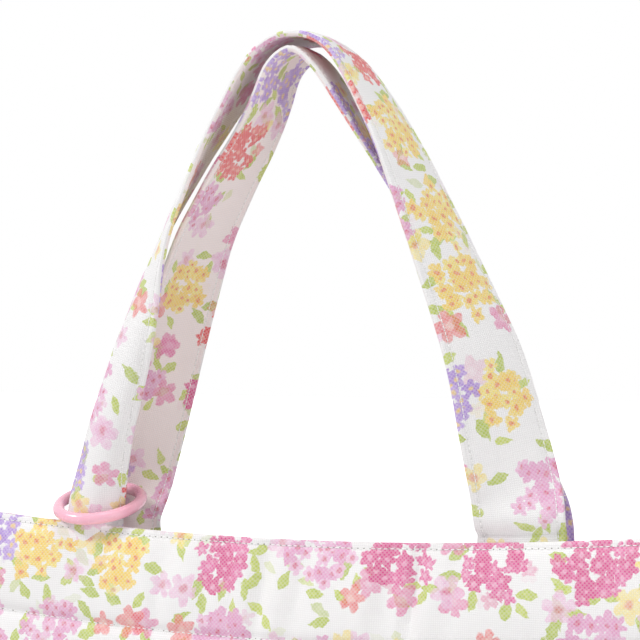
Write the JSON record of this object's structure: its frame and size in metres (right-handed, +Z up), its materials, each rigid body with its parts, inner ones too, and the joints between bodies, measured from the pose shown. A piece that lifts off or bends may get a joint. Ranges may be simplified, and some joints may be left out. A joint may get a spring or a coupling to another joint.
{
  "type": "knitting bag",
  "caption": "Small padded cloth knitting bag with a flat base, two sewn strap handles and a yarn guide ring that hangs on one handle leg.",
  "frame": {"origin": "middle of the flat base, on the surface that the bag stands on", "axes": "+Z up, +X to the right along the mouth, +Y from the front of the bag to its back; the ring is on the front handle, at -X"},
  "size_m": [0.3, 0.1, 0.3971],
  "materials": {
    "print_cloth": "woven cotton with a small all-over flower print",
    "strap_cloth": "woven cotton with the same flower print, edge stitched",
    "wadding": "soft needled wadding",
    "lining_cloth": "plain pink cotton",
    "ring_plastic": "glossy moulded pink plastic"
  },
  "bodies": {
    "bag": {"front_panel": "print_cloth", "back_panel": "print_cloth", "left_side_panel": "print_cloth", "right_side_panel": "print_cloth", "front_wadding": "wadding", "back_wadding": "wadding", "left_wadding": "wadding", "right_wadding": "wadding", "front_lining": "lining_cloth", "back_lining": "lining_cloth", "left_lining": "lining_cloth", "right_lining": "lining_cloth", "base_panel": "print_cloth", "base_wadding": "wadding", "base_lining": "lining_cloth", "inner_pocket": "lining_cloth", "front_handle_left_tail": "strap_cloth", "front_handle_right_tail": "strap_cloth", "back_handle_left_tail": "strap_cloth", "back_handle_right_tail": "strap_cloth"},
    "front_handle": {"front_handle": "strap_cloth"},
    "back_handle": {"back_handle": "strap_cloth"},
    "ring": {"yarn_guide_ring": "ring_plastic"}
  },
  "joints": [
    {"name": "front_handle_swing", "type": "hinge", "parent": "bag", "child": "front_handle", "pos_m": [0, -0.0158, 0.23377], "axis": [1, 0, 0], "range_deg": [0, 150]},
    {"name": "back_handle_swing", "type": "hinge", "parent": "bag", "child": "back_handle", "pos_m": [0, 0.0158, 0.23377], "axis": [1, 0, 0], "range_deg": [-150, 0]},
    {"name": "ring_slide", "type": "slide", "parent": "front_handle", "child": "ring", "axis": [0.3016, -0.0351, 0.9528], "range_m": [0, 0.025]}
  ],
  "couplings": [
    {"joint": "ring_slide", "follows": "front_handle_swing", "m_per_rad": 0.0095}
  ]
}
